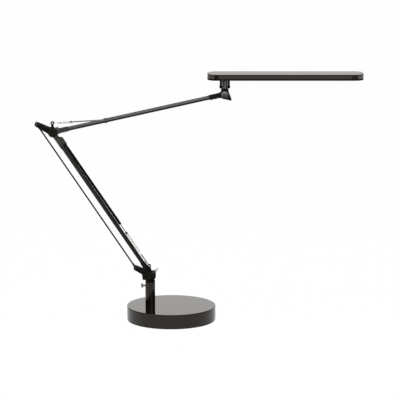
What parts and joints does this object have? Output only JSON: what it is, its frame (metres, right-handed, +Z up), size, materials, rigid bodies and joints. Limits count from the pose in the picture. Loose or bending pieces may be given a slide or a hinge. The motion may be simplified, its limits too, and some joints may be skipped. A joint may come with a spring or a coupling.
{
  "type": "balanced desk lamp",
  "caption": "Desk lamp with a weighted round base, a swivelling column, two spring-balanced arms with a levelling link, and a flat LED head that tilts, turns and rolls.",
  "frame": {"origin": "centre of the base's underside, on the desk", "axes": "+Z up, +X the way the head reaches, +Y away from the viewer, along the pivot axles"},
  "size_m": [0.6983, 0.1915, 0.5312],
  "materials": {
    "base_gloss": "gloss lacquer",
    "iron": "rough cast",
    "dark_metal": "satin",
    "rubber": "matt",
    "steel": "satin",
    "dark_paint": "semi-gloss paint",
    "black_plastic": "fine matt",
    "chrome": "bright plated",
    "hub_gloss": "gloss",
    "white_plastic": "matt",
    "arm_paint": "semi-gloss paint",
    "spring_steel": "bright drawn wire",
    "red_zinc": "dark dyed zinc",
    "hub_grey": "satin",
    "barrel_metal": "turned",
    "head_paint": "semi-gloss paint",
    "lens_plastic": "frosted",
    "board_white": "solder mask",
    "aluminium": "mill finish",
    "led_phosphor": "phosphor dome",
    "board_green": "solder mask",
    "button_plastic": "gloss"
  },
  "bodies": {
    "base": {"base_cover": "base_gloss", "base_weight": "iron", "base_plate": "dark_metal", "base_pad": "rubber", "base_screws": "steel", "column_spacer": "steel", "cord_gland": "rubber", "column": "dark_paint", "column_bush": "black_plastic", "column_bolt": "steel", "column_washer": "steel"},
    "clamp": {"clamp_screw": "chrome"},
    "swivel": {"swivel_bracket": "dark_paint", "swivel_spigot": "steel", "spigot_screw": "steel", "knee_hub_front": "hub_gloss", "knee_hub_back": "hub_gloss", "knee_axle": "steel", "knee_washers": "white_plastic", "knee_link_rivet": "dark_metal"},
    "wing_nut": {"knee_wing_nut": "chrome"},
    "link": {"link_rod": "dark_paint"},
    "lower_arm": {"lower_arm_foot": "black_plastic", "lower_arm_tube": "arm_paint", "lower_arm_head": "black_plastic", "lower_anchor": "black_plastic"},
    "lower_tension": {"lower_spring": "spring_steel", "lower_tension_rod": "dark_paint"},
    "elbow": {"elbow_plate_front": "dark_paint", "elbow_plate_back": "dark_paint", "elbow_axle": "steel", "elbow_hub_front": "hub_gloss", "elbow_hub_back": "hub_gloss", "elbow_link_rivet": "dark_metal"},
    "upper_arm": {"upper_arm_fork": "black_plastic", "upper_arm_tube": "arm_paint", "upper_arm_tip": "black_plastic", "tip_screws": "red_zinc", "upper_anchor": "black_plastic"},
    "upper_tension": {"upper_spring": "spring_steel", "upper_tension_rod": "steel"},
    "neck": {"neck_bracket": "dark_paint", "neck_axle": "steel", "neck_hub_front": "hub_grey", "neck_hub_back": "hub_grey", "neck_washers": "white_plastic"},
    "barrel": {"neck_barrel": "barrel_metal"},
    "head": {"head_yoke": "dark_paint", "roll_pin": "steel", "yoke_screws": "steel", "head_cover": "head_paint", "bezel_screws": "steel", "head_bezel": "black_plastic", "lens": "lens_plastic", "led_board": "board_white", "heat_spreader": "aluminium", "leds": "led_phosphor", "driver_board": "board_green", "switch_body": "black_plastic"},
    "button": {"push_button": "button_plastic"}
  },
  "joints": [
    {"name": "swivel", "type": "hinge", "parent": "base", "child": "swivel", "pos_m": [-0.0454, 0.02, 0.078], "axis": [0, 0, 1], "range_deg": [-170, 170]},
    {"name": "knee_tilt", "type": "hinge", "parent": "swivel", "child": "lower_arm", "pos_m": [-0.0429, 0.02, 0.0915], "axis": [0, 1, 0], "range_deg": [-4, 75], "deforming": ["lower_spring"]},
    {"name": "link_swing", "type": "hinge", "parent": "swivel", "child": "link", "pos_m": [-0.0767, 0.02, 0.1085], "axis": [0, 1, 0], "range_deg": [-5, 76]},
    {"name": "elbow_level", "type": "hinge", "parent": "lower_arm", "child": "elbow", "pos_m": [-0.25201, 0.02, 0.40399], "axis": [0, 1, 0], "range_deg": [-76, 5]},
    {"name": "lower_rod_swing", "type": "hinge", "parent": "lower_arm", "child": "lower_tension", "pos_m": [-0.22401, 0.02, 0.3776], "axis": [0, 1, 0], "range_deg": [-1.28, 6.26]},
    {"name": "elbow_tilt", "type": "hinge", "parent": "elbow", "child": "upper_arm", "pos_m": [-0.25201, 0.02, 0.40399], "axis": [0, 1, 0], "range_deg": [-45, 24], "deforming": ["upper_spring"]},
    {"name": "upper_rod_swing", "type": "hinge", "parent": "upper_arm", "child": "upper_tension", "pos_m": [-0.13946, 0.02, 0.43222], "axis": [0, 1, 0], "range_deg": [-3.64, 2.41]},
    {"name": "head_tilt", "type": "hinge", "parent": "upper_arm", "child": "neck", "pos_m": [0.11415, 0.02, 0.48583], "axis": [0, 1, 0], "range_deg": [-20, 60]},
    {"name": "head_swivel", "type": "hinge", "parent": "neck", "child": "barrel", "pos_m": [0.11415, 0.02, 0.49783], "axis": [0, 0, 1], "range_deg": [-90, 90]},
    {"name": "head_roll", "type": "hinge", "parent": "barrel", "child": "head", "pos_m": [0.11415, 0.02, 0.50213], "axis": [1, 0, 0], "range_deg": [-30, 30]},
    {"name": "switch_press", "type": "slide", "parent": "head", "child": "button", "axis": [0, 0, 1], "range_m": [0, 0.0008], "stiffness_N_per_m": 600},
    {"name": "clamp_turn", "type": "hinge", "parent": "base", "child": "clamp", "pos_m": [-0.0454, 0.02, 0.0695], "axis": [1, 0, 0], "range_deg": [-180, 180]},
    {"name": "wing_nut_turn", "type": "hinge", "parent": "swivel", "child": "wing_nut", "pos_m": [-0.0429, 0.02, 0.0915], "axis": [0, 1, 0], "range_deg": [-180, 180]}
  ],
  "couplings": [
    {"joint": "link_swing", "follows": "knee_tilt", "ratio": 1},
    {"joint": "elbow_level", "follows": "knee_tilt", "ratio": -1},
    {"joint": "lower_rod_swing", "follows": "knee_tilt", "ratio": 0.0701},
    {"joint": "upper_rod_swing", "follows": "elbow_tilt", "ratio": 0.0587}
  ]
}
